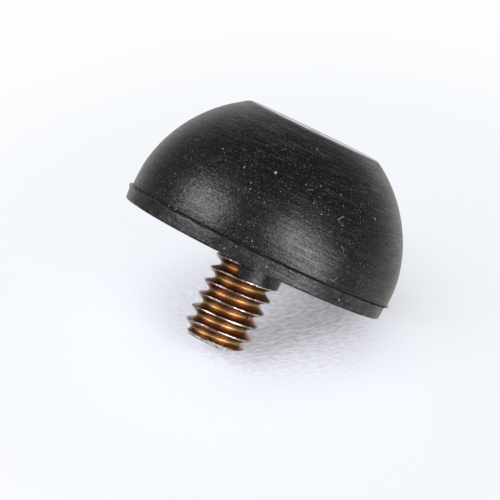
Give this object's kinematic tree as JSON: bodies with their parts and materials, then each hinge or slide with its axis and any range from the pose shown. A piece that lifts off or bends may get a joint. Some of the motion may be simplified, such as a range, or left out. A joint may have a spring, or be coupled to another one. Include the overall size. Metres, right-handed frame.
{
  "type": "rubber foot with threaded stud",
  "caption": "Dome-shaped black rubber foot with a flat end, a thin band at its seat and a steel threaded stud moulded into its centre.",
  "frame": {"origin": "centre of the flat that stands on the floor", "axes": "+Z along the stud, from the flat towards the stud's free end; the filled part of the thread faces -X"},
  "size_m": [0.0258, 0.0258, 0.0214],
  "materials": {
    "rubber": "moulded black rubber, satin, dusty, with fine turning marks from the mould",
    "stud_steel": "zinc plated with yellow-brown chromate, worn to bare zinc on the crests and the end chamfer"
  },
  "bodies": {
    "root": {"rubber_body": "rubber", "threaded_stud": "stud_steel"}
  },
  "joints": []
}
